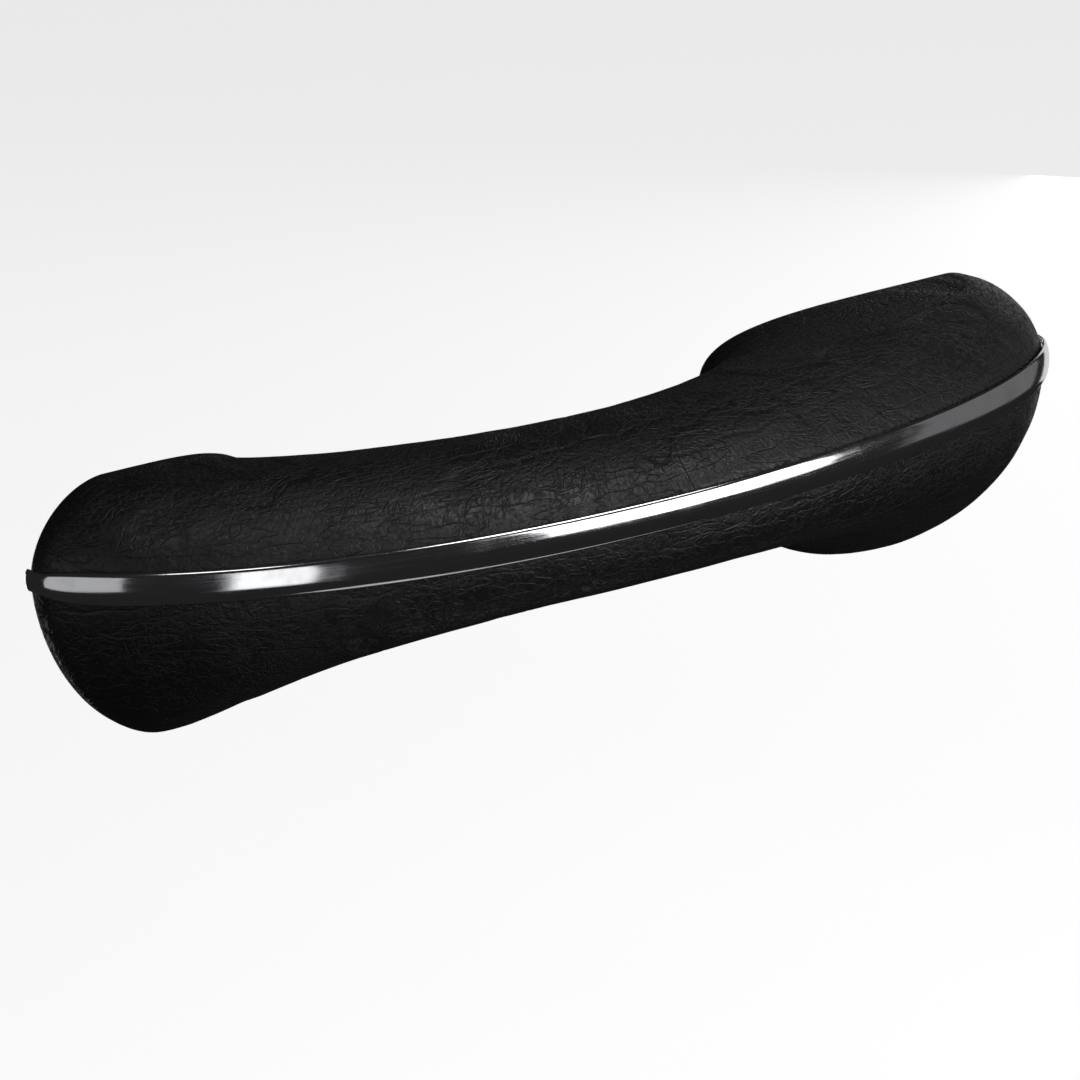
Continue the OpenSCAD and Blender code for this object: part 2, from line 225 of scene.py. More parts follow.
# %% Crease lines
def wandering(tree, enter, frequency, detail):
    """A group's Vector input, pushed about by noise, so that a pattern on it wanders."""
    vector = enter.outputs["Vector"]
    drift = node(tree, "ShaderNodeTexNoise", {"Vector": vector, "Scale": frequency, "Detail": detail})
    centred = node(tree, "ShaderNodeVectorMath", {0: drift.outputs["Color"], 1: (0.5, 0.5, 0.5)},
                   operation="SUBTRACT")
    pushed = node(tree, "ShaderNodeVectorMath", {0: centred.outputs[0]}, operation="SCALE")
    reach = maths(tree, "MULTIPLY", enter.outputs["Wander"], enter.outputs["Size"])
    tree.links.new(reach, pushed.inputs["Scale"])
    moved = node(tree, "ShaderNodeVectorMath", {0: vector, 1: pushed.outputs[0]}, operation="ADD")
    return moved.outputs[0]


crease_group, enter, leave = new_group(
    "crease_lines", {"Vector": "Vector", "Size": "Float", "Width": "Float", "Wander": "Float"},
    {"Crease": "Float"})
frequency = maths(crease_group, "DIVIDE", 1.0, enter.outputs["Size"])
moved = wandering(crease_group, enter, frequency, 3.0)
field = node(crease_group, "ShaderNodeTexNoise",
             {"Vector": moved, "Scale": frequency, "Detail": 1.0, "Roughness": 0.4})
centred = maths(crease_group, "SUBTRACT", field.outputs["Fac"], 0.5)
distance = maths(crease_group, "ABSOLUTE", centred)
crease_group.links.new(ramp(crease_group, distance, 0.0, enter.outputs["Width"], 1.0, 0.0),
                       leave.inputs["Crease"])

# %% Crack net
crack_group, enter, leave = new_group(
    "crack_net", {"Vector": "Vector", "Size": "Float", "Width": "Float", "Wander": "Float"},
    {"Crack": "Float"})
frequency = maths(crack_group, "DIVIDE", 1.0, enter.outputs["Size"])
moved = wandering(crack_group, enter, frequency, 4.0)
cells = node(crack_group, "ShaderNodeTexVoronoi", {"Vector": moved, "Scale": frequency},
             feature="DISTANCE_TO_EDGE")
crack = ramp(crack_group, cells.outputs["Distance"], 0.0, enter.outputs["Width"], 1.0, 0.0)
crack_group.links.new(crack, leave.inputs["Crack"])

# %% Grain, patches and streaks
grain_group, enter, leave = new_group(
    "grain", {"Vector": "Vector", "Size": "Float"}, {"Height": "Float", "Pits": "Float"})
frequency = maths(grain_group, "DIVIDE", 1.0, enter.outputs["Size"])
cells = node(grain_group, "ShaderNodeTexVoronoi",
             {"Vector": enter.outputs["Vector"], "Scale": frequency, "Smoothness": 0.6},
             feature="SMOOTH_F1")
finer = maths(grain_group, "MULTIPLY", frequency, 0.7)
fine = node(grain_group, "ShaderNodeTexNoise",
            {"Vector": enter.outputs["Vector"], "Scale": finer, "Detail": 4.0, "Roughness": 0.6})
domes = maths(grain_group, "SUBTRACT", 1.0, cells.outputs["Distance"])
grain_group.links.new(maths(grain_group, "ADD", maths(grain_group, "MULTIPLY", domes, 0.5),
                            maths(grain_group, "MULTIPLY", fine.outputs["Fac"], 0.5)),
                      leave.inputs["Height"])
grain_group.links.new(ramp(grain_group, cells.outputs["Distance"], 0.45, 0.75), leave.inputs["Pits"])

patch_group, enter, leave = new_group(
    "patches", {"Vector": "Vector", "Size": "Float", "Low": "Float", "High": "Float"},
    {"Mask": "Float"})
clouds = node(patch_group, "ShaderNodeTexNoise",
              {"Vector": enter.outputs["Vector"], "Detail": 4.0, "Roughness": 0.55,
               "Scale": maths(patch_group, "DIVIDE", 1.0, enter.outputs["Size"])})
mask = ramp(patch_group, clouds.outputs["Fac"], enter.outputs["Low"], enter.outputs["High"])
patch_group.links.new(mask, leave.inputs["Mask"])
print("node groups:", [g.name for g in bpy.data.node_groups])


# %% [markdown]
# ## Finishes
# Each finish is one Principled shader. Its colour, roughness and relief come from the groups,
# and everything that is the same all over is set on the shader itself. Patterns are laid out in
# millimetres: on the object's own coordinates for cast, pressed or foamed pieces, and on the
# "bow" map for the covers and strip, whose pattern follows them round the bow.


# %% Start a finish
def new_finish(name, map_name=None, **shader):
    """A material with a Principled shader; returns it, its tree, its shader and coordinates in mm."""
    material = bpy.data.materials.new(name)
    material.use_nodes = True
    tree = material.node_tree
    principled = tree.nodes["Principled BSDF"]
    for socket, value in shader.items():
        principled.inputs[socket.replace("_", " ")].default_value = value
    if map_name:
        place = node(tree, "ShaderNodeUVMap", uv_map=map_name).outputs["UV"]
    else:
        place = node(tree, "ShaderNodeTexCoord").outputs["Object"]
    scaled = node(tree, "ShaderNodeVectorMath", {0: place}, operation="SCALE")
    scaled.inputs["Scale"].default_value = 1 / MM
    return material, tree, principled, scaled.outputs[0]


def stretched(tree, vector, scale):
    """Coordinates that are stretched before a pattern reads them."""
    return node(tree, "ShaderNodeMapping", {"Vector": vector, "Scale": scale}).outputs[0]


def give(tree, principled, colour=None, roughness=None, height=None, strength=1.0):
    """Plugs a finish's patterns into its shader. height is relief in millimetres."""
    if colour is not None:
        tree.links.new(colour, principled.inputs["Base Color"])
    if roughness is not None:
        tree.links.new(roughness, principled.inputs["Roughness"])
    if height is not None:
        bump = node(tree, "ShaderNodeBump", {"Height": height, "Distance": MM, "Strength": strength})
        tree.links.new(bump.outputs[0], principled.inputs["Normal"])


# %% [markdown]
# ### Black vinyl
# The covers are leather-grained vinyl, pulled tight over foam and then used for years. Up close
# it has three scales: a pebble grain under a millimetre, a net of fine cracks a few millimetres
# apart, and long creases that run with the bow. The pebbles sit on object coordinates, so they
# stay round everywhere. Cracks and creases read the bow map, so they follow the grip round its
# bend. The deepest folds are true geometry, which the covers' own "fold" attribute records. The
# finish makes folds and crease lines a little rougher, and it paints shade into them as a darker
# colour.

# %% Vinyl
vinyl, tree, principled, bow = new_finish("black_vinyl", "bow", IOR=1.5)
spot = node(tree, "ShaderNodeVectorMath", {0: node(tree, "ShaderNodeTexCoord").outputs["Object"]},
            operation="SCALE")
spot.inputs["Scale"].default_value = 1 / MM
spot = spot.outputs[0]
grain = use_group(tree, grain_group, {"Vector": spot, "Size": 0.95})
long_lines = use_group(tree, crease_group, {"Vector": stretched(tree, bow, (0.22, 1.0, 1.0)),
                                            "Size": 5.5, "Width": 0.022, "Wander": 0.9})["Crease"]
net_lines = use_group(tree, crack_group, {"Vector": stretched(tree, bow, (0.6, 1.0, 1.0)),
                                          "Size": 2.7, "Width": 0.13, "Wander": 1.5})["Crack"]
cross_lines = use_group(tree, crease_group, {"Vector": stretched(tree, bow, (1.0, 0.2, 1.0)),
                                             "Size": 3.2, "Width": 0.022, "Wander": 0.7})["Crease"]
net_places = use_group(tree, patch_group, {"Vector": bow, "Size": 13.0,
                                           "Low": 0.36, "High": 0.58})["Mask"]
cross_places = use_group(tree, patch_group, {"Vector": stretched(tree, bow, (1.0, 1.0, 3.0)),
                                             "Size": 21.0, "Low": 0.46, "High": 0.58})["Mask"]
net_lines = maths(tree, "MULTIPLY", net_lines, net_places)
cross_lines = maths(tree, "MULTIPLY", cross_lines, cross_places)
lines = maths(tree, "MAXIMUM", long_lines, maths(tree, "MULTIPLY", net_lines, 0.75))
lines = maths(tree, "MAXIMUM", lines, maths(tree, "MULTIPLY", cross_lines, 0.9))
fold = node(tree, "ShaderNodeAttribute", attribute_name="fold").outputs["Fac"]
worn = use_group(tree, patch_group, {"Vector": spot, "Size": 24.0, "Low": 0.35, "High": 0.7})["Mask"]
tone = blend_colours(tree, worn, (0.0062, 0.0061, 0.0062, 1), (0.0105, 0.0102, 0.0101, 1))
# Painted shade: crease lines and folds are painted darker than the vinyl around them. The same mask
# also makes them a little rougher.
creases_and_painted_shade = maths(tree, "MAXIMUM", lines, fold)
tone = blend_colours(tree, creases_and_painted_shade, tone, (0.004, 0.004, 0.004, 1))
rough = ramp(tree, worn, 0.0, 1.0, 0.42, 0.33)
rough = maths(tree, "ADD", rough, maths(tree, "MULTIPLY", grain["Pits"], 0.25))
rough = maths(tree, "ADD", rough, maths(tree, "MULTIPLY", creases_and_painted_shade, 0.15))
relief = maths(tree, "SUBTRACT", maths(tree, "MULTIPLY", grain["Height"], 0.12),
               maths(tree, "MULTIPLY", lines, 0.13))
give(tree, principled, tone, rough, relief)

# %% [markdown]
# ### Bright strip
# The strip is polished stainless steel. A mirror with no flaws looks like a hole in the picture,
# so it gets what polishing and hands leave: faint lines along its length, and blotches where
# the gloss is a touch softer. Both are only a few hundredths of roughness.

# %% Strip metal
bright, tree, principled, bow = new_finish("bright_trim", "bow", Metallic=1.0)
polish = use_group(tree, patch_group, {"Vector": stretched(tree, bow, (0.03, 3.0, 1.0)),
                                       "Size": 1.0, "Low": 0.3, "High": 0.7})["Mask"]
smudge = use_group(tree, patch_group, {"Vector": bow, "Size": 9.0, "Low": 0.45, "High": 0.7})["Mask"]
tone = blend_colours(tree, smudge, (0.74, 0.745, 0.76, 1), (0.66, 0.665, 0.68, 1))
rough = ramp(tree, polish, 0.0, 1.0, 0.07, 0.13)
rough = maths(tree, "ADD", rough, maths(tree, "MULTIPLY", smudge, 0.05))
give(tree, principled, tone, rough, maths(tree, "MULTIPLY", polish, 0.0015))


# %% [markdown]
# ### Metals inside and behind
# The hidden steel differs in how it was made: the rail and plates are painted dark, bushes,
# rivets and staples are zinc plated, and the clips are blued spring steel. One function makes
# all three from a light and a dark tone, with streaks along the metal and worn patches.


# %% Other metals
def metal_finish(name, light, dark, metallic, roughness, streak):
    """Metal with worn patches between two tones, and drawn lines of the given relief in mm."""
    material, tree, principled, place = new_finish(name, Metallic=metallic)
    worn = use_group(tree, patch_group, {"Vector": place, "Size": 5.0,
                                         "Low": 0.4, "High": 0.65})["Mask"]
    drawn = use_group(tree, patch_group, {"Vector": stretched(tree, place, (0.12, 1.0, 4.0)),
                                          "Size": 0.8, "Low": 0.3, "High": 0.7})["Mask"]
    tone = blend_colours(tree, worn, (*dark, 1), (*light, 1))
    rough = maths(tree, "ADD", ramp(tree, worn, 0.0, 1.0, roughness, roughness + 0.14),
                  maths(tree, "MULTIPLY", drawn, 0.08))
    give(tree, principled, tone, rough, maths(tree, "MULTIPLY", drawn, streak))
    return material


painted = metal_finish("dark_steel", (0.055, 0.057, 0.06), (0.02, 0.021, 0.023), 0.35, 0.42, 0.01)
plated = metal_finish("plated_steel", (0.66, 0.64, 0.56), (0.42, 0.41, 0.37), 1.0, 0.3, 0.012)
sprung = metal_finish("spring_steel", (0.3, 0.32, 0.38), (0.11, 0.12, 0.16), 1.0, 0.26, 0.006)

# %% [markdown]
# ### Fibreboard and foam
# The foot boards are pressed fibre: short tangled threads, darker where glue has soaked in. The
# foam is open-celled and yellowed, and its cells are the grain group again at a larger size, with
# painted shade in the pits between them.

# %% Board and foam
board, tree, principled, place = new_finish("fibreboard", Roughness=0.85)
threads = use_group(tree, crease_group, {"Vector": stretched(tree, place, (0.5, 1.0, 1.0)),
                                         "Size": 1.1, "Width": 0.08, "Wander": 2.2})["Crease"]
stain = use_group(tree, patch_group, {"Vector": place, "Size": 11.0, "Low": 0.4, "High": 0.68})["Mask"]
tone = blend_colours(tree, stain, (0.19, 0.11, 0.055, 1), (0.1, 0.055, 0.028, 1))
tone = blend_colours(tree, maths(tree, "MULTIPLY", threads, 0.55), tone, (0.31, 0.2, 0.11, 1))
rough = ramp(tree, stain, 0.0, 1.0, 0.9, 0.66)
give(tree, principled, tone, rough, maths(tree, "MULTIPLY", threads, 0.05))

foam, tree, principled, place = new_finish("foam", Roughness=0.95)
cells = use_group(tree, grain_group, {"Vector": place, "Size": 0.9})
aged = use_group(tree, patch_group, {"Vector": place, "Size": 26.0, "Low": 0.35, "High": 0.7})["Mask"]
tone = blend_colours(tree, aged, (0.74, 0.64, 0.38, 1), (0.56, 0.42, 0.2, 1))
# Painted shade: the pits between the foam's cells are painted darker.
tone = blend_colours(tree, cells["Pits"], tone, (0.27, 0.2, 0.1, 1))
rough = ramp(tree, aged, 0.0, 1.0, 0.95, 0.85)
give(tree, principled, tone, rough, maths(tree, "MULTIPLY", cells["Height"], 0.3))
print("finishes:", [m.name for m in bpy.data.materials])


# %% [markdown]
# ## The bow
# Seen from above, the armrest is a bow: its front edge carries the strip, and its rear edge goes
# round the finger space. Both are superellipses, so a few powers set how square each corner is.
# Across the bow, each half of the section rises from the strip to a peak and falls to a seam on
# the finger side. These functions give the same surface as the CAD model, point for point, but
# for any number of points, which is what a smooth visible skin needs.


# %% Edges in plan
# Each pair is for the left and the right of the middle.
BOW_ALONG = (2.2, 1.9)     # powers of the bow, along the door
BOW_OUT = (1.53, 2)        # and out from it
FOOT_PEAK = (0.34, 0.21)   # place of the feet's highest line, as a share of the way in
FOOT_FRONT = (1.85, 1.7)   # power of the feet's upper half in front of that line
SLIMMER = (0, 1 * MM)      # the right foot is this much less high, above and below


def which(a):
    return 0 if a < math.pi / 2 else 1


def signed_power(value, power):
    return math.copysign(abs(value) ** power, value)


def front_edge(a):
    """Point of the front edge, in plan; a runs from 0 at the left foot to pi at the right."""
    return np.array([-HALF * signed_power(math.cos(a), 2 / BOW_ALONG[which(a)]),
                     -BASE - (DEPTH - BASE) * max(0.0, math.sin(a)) ** (2 / BOW_OUT[which(a)])])


def rear_edge(a):
    """Point of the rear edge, round the finger space."""
    half = HALF - (LEFT_FOOT if math.cos(a) > 0 else RIGHT_FOOT)
    return np.array([-half * signed_power(math.cos(a), 2 / 1.6),
                     -BASE - (FINGER_GAP - BASE) * max(0.0, math.sin(a)) ** (2 / 1.6)])


def across(a):
    """Front point, direction in from it, and distance to the rear edge."""
    start = front_edge(a)
    reach = rear_edge(a) - start
    span = float(np.linalg.norm(reach))
    return start, reach / span, span


# %% Sections across the bow
def mix(a, b, share):
    return a + (b - a) * share


def half_form(a, upper):
    """Height of half a section, place of its peak, and its powers in front and behind."""
    side = which(a)
    if upper:
        w = abs(math.cos(a)) ** 2
        return (mix(WAIST_RISE, FOOT_RISE - SLIMMER[side], w), mix(0.6, FOOT_PEAK[side], w),
                mix(1.5, FOOT_FRONT[side], w), mix(3.4, 4.3, w))
    w = abs(math.cos(a)) ** 2.9
    return (mix(WAIST_DROP, FOOT_DROP - SLIMMER[side], w), 0.5,
            mix(2.9, 1.75, w), mix(2.35, 2.3, w))


def wall(a, upper, inset, low_front, low_rear, count=90):
    """Section points, distance in and height, from the front over the peak to the rear."""
    span = across(a)[2]
    height, peak, front_power, rear_power = half_form(a, upper)
    peak, height = peak * span, height - inset
    t = np.linspace(math.asin((low_front / height) ** (front_power / 2)), math.pi / 2, count)
    front = np.stack([peak - (peak - inset) * np.cos(t).clip(0) ** (2 / front_power),
                      height * np.sin(t) ** (2 / front_power)], 1)
    t = np.linspace(math.pi / 2, math.asin((low_rear / height) ** (rear_power / 2)), count)[1:]
    rear = np.stack([peak + (span - peak - inset) * np.cos(t).clip(0) ** (2 / rear_power),
                     height * np.sin(t) ** (2 / rear_power)], 1)
    return np.concatenate([front, rear])


def arc(centre, radius, start, end, count=8):
    """Points on an arc of a section, angles in degrees."""
    t = np.radians(np.linspace(start, end, count))
    return np.stack([centre[0] + radius * np.cos(t), centre[1] + radius * np.sin(t)], 1)


def evenly(points, count):
    """Resamples a line of points to count points an even distance apart; also its length."""
    steps = np.linalg.norm(np.diff(points, axis=0), axis=1)
    travel = np.concatenate([[0], np.cumsum(steps)])
    want = np.linspace(0, travel[-1], count)
    even = np.stack([np.interp(want, travel, points[:, k]) for k in range(points.shape[1])], 1)
    return even, travel[-1]


# %% Angles an even distance apart
samples = np.linspace(0, math.pi, 4001)
edge = np.array([front_edge(a) for a in samples])
travel = np.concatenate([[0], np.cumsum(np.linalg.norm(np.diff(edge, axis=0), axis=1))])
BOW_LENGTH = travel[-1]


def angle_at(distance):
    """Angle of the bow at a distance along its front edge."""
    return float(np.interp(distance, travel, samples))


print("front edge, mm:", round(BOW_LENGTH / MM, 1))


# %% [markdown]
# ## Surfaces from grids
# Covers, strip and foam are all a flat grid that is bent into place: one direction of the grid
# runs along the bow and the other round the section. A grid keeps its rows in order, so the
# same two numbers of each vertex also give its place on the "bow" map, in metres.


# %% Bend a grid
def bent_grid(name, lattice, chart, closed=False, flipped=False):
    """Mesh from a lattice of points [along, across, xyz]; chart holds each point's map place."""
    rows, columns = lattice.shape[0] - 1, lattice.shape[1] - 1
    bm = bmesh.new()
    bmesh.ops.create_grid(bm, x_segments=rows, y_segments=columns, size=0.5)
    flat = bm.loops.layers.uv.new("bow")
    index = {v: (round((v.co.x + 0.5) * rows), round((v.co.y + 0.5) * columns)) for v in bm.verts}
    for face in bm.faces:
        for loop in face.loops:
            loop[flat].uv = chart[index[loop.vert]]
    for v, place in index.items():
        v.co = lattice[place]
    if flipped:
        bmesh.ops.reverse_faces(bm, faces=bm.faces)
    if closed:
        bmesh.ops.remove_doubles(bm, verts=bm.verts, dist=1e-6)
    mesh = bpy.data.meshes.new(name)
    bm.to_mesh(mesh)
    bm.free()
    piece = bpy.data.objects.new(name, mesh)
    bpy.context.scene.collection.objects.link(piece)
    return piece


def smooth_shaded(piece):
    for polygon in piece.data.polygons:
        polygon.use_smooth = True


# %% [markdown]
# ## The covers
# Each cover is one panel of vinyl. It starts behind the strip, turned in through the slit, rolls
# over the edge, goes round the foam and turns in again at the finger-side seam. At both feet it
# runs past the foam, folds over the back and ends in a stapled hem.


# %% One row of a cover
ROLL = 0.8 * MM            # radius where the vinyl turns in behind the strip
SEAM_ROLL = 1.3 * MM       # radius where it turns in at the finger-side seam
FOLD = 1.2 * MM            # radius of the fold over the back of a foot
BASE_RUN = BASE - HEM_BACK - FOLD
HEM_RUN = BASE_RUN + FOLD * math.pi / 2 + HEM_WIDTH - FOLD


def cover_section(a, upper, tuck):
    """A cover's outer line at angle a, from behind the strip to the finger-side seam."""
    body = wall(a, upper, 0, SLIT + ROLL, SEAM_ROLL)
    start = body[0][0]
    inner = np.array([[tuck, SLIT], [start + ROLL + 0.2 * MM, SLIT]])
    roll = arc((start + ROLL, SLIT + ROLL), ROLL, 270, 180)
    seam = arc((body[-1][0] - SEAM_ROLL, SEAM_ROLL + 0.05 * MM), SEAM_ROLL, 0, -90)
    return np.concatenate([inner, roll, body[1:], seam])


def cover_row(distance, upper, count):
    """One row of a cover, at a distance along the front edge; past its ends it is base and hem."""
    past = max(-distance, distance - BOW_LENGTH, 0.0)
    a = angle_at(min(max(distance, 0.0), BOW_LENGTH))
    end = min(distance, BOW_LENGTH - distance)
    tuck = mix(LIP, TUCK, min(1.0, max(0.0, end / (4 * MM))))
    section, girth = evenly(cover_section(a, upper, tuck), count)
    start, inward, span = across(a)
    plan = start + section[:, :1] * inward
    row = np.column_stack([plan, section[:, 1] * (1 if upper else -1)])
    if past > 0:
        turn = min(max(0.0, past - BASE_RUN) / FOLD, math.pi / 2)
        flat = max(0.0, past - BASE_RUN - FOLD * math.pi / 2)
        row[:, 1] += min(past, BASE_RUN) + FOLD * math.sin(turn)
        middle = np.array([start[0] + inward[0] * span / 2, (3 if upper else -3) * SLIT])
        pull = middle - row[:, [0, 2]]
        pull *= (FOLD * (1 - math.cos(turn)) + flat) / np.linalg.norm(pull, axis=1)[:, None]
        row[:, 0] += pull[:, 0]
        row[:, 2] += pull[:, 1]
    row[:, 2] += LINE
    return row, girth


def cover_lattice(upper, rows, columns):
    """All rows of a cover from hem to hem, and the map place of each point."""
    distances = np.linspace(-HEM_RUN, BOW_LENGTH + HEM_RUN, rows + 1)
    lattice = np.zeros((rows + 1, columns + 1, 3))
    chart = np.zeros((rows + 1, columns + 1, 2))
    for i, distance in enumerate(distances):
        lattice[i], girth = cover_row(distance, upper, columns + 1)
        chart[i, :, 0] = distance
        chart[i, :, 1] = np.linspace(0, girth, columns + 1) + (0 if upper else 0.2)
    return lattice, chart


# %% [markdown]
# ### Settling the vinyl
# A cover drawn from formulas is too perfect: real vinyl is held only at its slit, seam and
# hems, and the foam behind pushes it out unevenly between them. A cloth simulation does that
# best. It runs on a coarse copy of the cover with its border pinned, a little pressure behind
# it and no gravity. The cover then takes over how far each point swelled outwards, smoothed
# and capped, so that the foam stays covered and the cover keeps the CAD model's shape.

# %% Simulate a coarse copy
STRIDE = 4                 # rows of the fine cover to one row of the coarse copy
MOST_MOVE = 0.3 * MM
CLOTH_FRAMES = 20


def cloth_moves(lattice, chart, upper):
    """How far each point of a coarse cover moves when its foam pushes it out."""
    rows, columns = lattice.shape[0] - 1, lattice.shape[1] - 1
    piece = bent_grid("cloth_copy", lattice, chart, flipped=not upper)
    height = np.arange(columns + 1) / columns
    held = piece.vertex_groups.new(name="held")
    places = {}
    for v in piece.data.vertices:
        i, j = np.unravel_index(np.argmin(((lattice - np.array(v.co)) ** 2).sum(2)), lattice.shape[:2])
        places[v.index] = (i, j)
        border = i < 5 or i > rows - 5 or height[j] < 0.1 or j > columns - 2
        held.add([v.index], 1.0 if border else 0.0, "REPLACE")
    cloth = piece.modifiers.new("cloth", "CLOTH")
    settings = cloth.settings
    settings.quality = 7
    settings.mass = 0.3
    settings.tension_stiffness = 25
    settings.compression_stiffness = 12
    settings.bending_stiffness = 0.6
    settings.use_pressure = True
    settings.uniform_pressure_force = 4.0
    settings.shrink_min = -0.012
    settings.vertex_group_mass = "held"
    settings.effector_weights.gravity = 0.0
    cloth.point_cache.frame_start = 1
    cloth.point_cache.frame_end = CLOTH_FRAMES
    scene = bpy.context.scene
    for number in range(1, CLOTH_FRAMES + 1):
        scene.frame_set(number)
    settled = piece.evaluated_get(bpy.context.evaluated_depsgraph_get()).to_mesh()
    moves = np.zeros(lattice.shape)
    for v in settled.vertices:
        moves[places[v.index]] = np.array(v.co) - lattice[places[v.index]]
    scene.frame_set(1)
    bpy.data.objects.remove(piece)
    return moves


# %% [markdown]
# ### Creases in the surface
# The deepest creases in used vinyl are folds that catch the light from any side, so they are
# geometry and not only shading. Two kinds are added along the cover's normals. Most come from a
# noise whose level line wanders, as in the finish. A few long ones are listed one by one, where a
# hand and a forearm have bent the vinyl the same way for years.

# %% Relief of a cover
SWELL = 0.1 * MM           # broad unevenness of the foam
CREASE_DEPTH = 0.16 * MM
CREASE_HALF = 0.5 * MM     # half the width of a crease

# Long creases: start and end along the bow, place across it at each end, and depth, in mm
UPPER_FOLDS = [(95, 268, 27, 34, 0.26), (150, 300, 17, 27, 0.2), (196, 286, 23, 38, 0.2),
               (40, 120, 20, 25, 0.14)]
LOWER_FOLDS = [(60, 175, 20, 15, 0.14), (190, 300, 13, 24, 0.13)]


def wander(u, v, size, seed):
    """Smooth noise around 0 at a place on the bow map, in mm."""
    return noise.noise(Vector((u / size + seed, v / size - seed, seed * 0.37)))


def line_depth(field, width):
    """1 where the noise crosses zero, falling to 0 at a given width of it."""
    return max(0.0, 1.0 - abs(field) / width) ** 1.6


def relief_at(u, v, folds, seed):
    """Height of a cover's relief at a place on the bow map in mm: (height in m, crease mask, which the
    finish also uses for painted shade).
    """
    swell = wander(u, v, 19, seed) + 0.5 * wander(u, v, 8, seed + 3)
    push = 2.4 * wander(u, v, 9, seed + 5) + 0.7 * wander(u, v, 3.1, seed + 6)
    long_line = line_depth(noise.noise(Vector((u / 34 + seed, (v + push) / 6.5, seed))), 0.075)
    cross_line = line_depth(noise.noise(Vector(((u + push) / 6.0, v / 24, seed + 9))), 0.07)
    patch = min(1.0, max(0.0, 0.5 + 1.9 * wander(u, v, 30, seed + 11)))
    cross_patch = min(1.0, max(0.0, 2.6 * wander(u, v, 26, seed + 17)))
    creases_and_painted_shade = max(long_line * patch * 0.6, cross_line * cross_patch * 0.6)
    for first, last, low, high, depth in folds:
        share = (u - first) / (last - first)
        if -0.02 < share < 1.02:
            path = mix(low, high, share * share)
            path = path + 2.6 * wander(u, 0, 14, seed + low) + 0.8 * wander(u, 0, 4, low)
            fade = min(1.0, 6 * max(0.0, min(share, 1 - share)))
            near = max(0.0, 1.0 - abs(v - path) * MM / CREASE_HALF)
            creases_and_painted_shade = max(creases_and_painted_shade, near ** 1.3 * fade * depth * MM / CREASE_DEPTH)
    return SWELL * swell - CREASE_DEPTH * creases_and_painted_shade, min(1.0, creases_and_painted_shade)


def lattice_normals(lattice):
    along = np.gradient(lattice, axis=0)
    over = np.gradient(lattice, axis=1)
    normals = np.cross(along, over)
    return normals / np.maximum(np.linalg.norm(normals, axis=2), 1e-12)[..., None]


# %% [markdown]
# ### Building a cover
# The steps come together here: lattice, cloth moves, relief, and puckers in the hem, where the
# vinyl has too much length once it is drawn in over the back. The result is an outer skin. A
# Solidify modifier then gives it its wall, inwards, so the outside stays where it was put.

# %% Build both covers
ROWS, COLUMNS = 512, 144
PUCKER = 0.3 * MM
PUCKER_PITCH = 4.6         # mm along the outline of a foot


def softened(field, passes):
    """Averages a lattice with its neighbours a number of times."""
    for _ in range(passes):
        padded = np.pad(field, ((1, 1), (0, 0), (0, 0)), "edge")
        field = (padded[:-2] + 2 * padded[1:-1] + padded[2:]) / 4
        padded = np.pad(field, ((0, 0), (1, 1), (0, 0)), "edge")
        field = (padded[:, :-2] + 2 * padded[:, 1:-1] + padded[:, 2:]) / 4
    return field


def spread_out(coarse, rows, columns):
    """A coarse lattice of moves, spread smoothly over a finer one."""
    i = np.linspace(0, coarse.shape[0] - 1, rows + 1)
    j = np.linspace(0, coarse.shape[1] - 1, columns + 1)
    half = np.stack([np.stack([np.interp(i, range(coarse.shape[0]), coarse[:, c, k])
                               for c in range(coarse.shape[1])], 1) for k in range(3)], 2)
    full = np.stack([np.stack([np.interp(j, range(coarse.shape[1]), half[r, :, k])
                               for r in range(rows + 1)], 0) for k in range(3)], 2)
    return softened(full, 10)


def build_cover(name, upper, folds, seed):
    """One vinyl cover, as a closed shell."""
    lattice, chart = cover_lattice(upper, ROWS, COLUMNS)
    coarse, coarse_chart = lattice[::STRIDE, ::STRIDE], chart[::STRIDE, ::STRIDE]
    moves = spread_out(cloth_moves(coarse, coarse_chart, upper), ROWS, COLUMNS)
    outwards = lattice_normals(lattice) * (1 if upper else -1)
    swell = (moves * outwards).sum(2, keepdims=True)
    reach = [round(float(v) / MM, 2) for v in (swell.min(), swell.max())]
    print(name, "cloth moved in and out by up to, mm:", reach)
    lattice = lattice + outwards * MOST_MOVE * np.tanh(np.maximum(swell, 0.0) / MOST_MOVE)
    normals = lattice_normals(lattice) * (1 if upper else -1)
    heights = np.zeros(lattice.shape[:2])
    masks = np.zeros(lattice.shape[:2])
    girths = chart[:, :, 1] - chart[:, :1, 1]
    for i in range(ROWS + 1):
        u = chart[i, 0, 0] / MM
        hem = max(-u, u - BOW_LENGTH / MM) - (BASE_RUN + FOLD) / MM
        for j in range(COLUMNS + 1):
            v = girths[i, j] / MM
            height, mask = relief_at(u, v, folds, seed)
            edge = min(1.0, max(0.0, min(v - 6, girths[i, -1] / MM - v - 3) / 4), max(0.0, -hem / 4))
            heights[i, j], masks[i, j] = height * edge, mask * edge
            if hem > 0:
                ripple = max(0.0, math.sin(2 * math.pi * v / PUCKER_PITCH)) ** 2
                heights[i, j] = PUCKER * min(1.0, hem / 5) * ripple
    lattice = lattice + normals * heights[..., None]
    piece = bent_grid(name, lattice, chart, flipped=not upper)
    mark_folds(piece, lattice, masks)
    solid = piece.modifiers.new("wall", "SOLIDIFY")
    solid.thickness = VINYL
    solid.offset = -1
    piece.data.materials.append(vinyl)
    smooth_shaded(piece)
    print(name, "rows x columns", ROWS, COLUMNS, "girth mm", round(girths.max() / MM, 1))
    return piece


def mark_folds(piece, lattice, masks):
    """Keeps the crease mask on the mesh, as the attribute that the vinyl finish reads for its painted
    shade and roughness.
    """
    attribute = piece.data.attributes.new("fold", "FLOAT", "POINT")
    attribute.data.foreach_set("value", masks[bent_order(piece, lattice)])


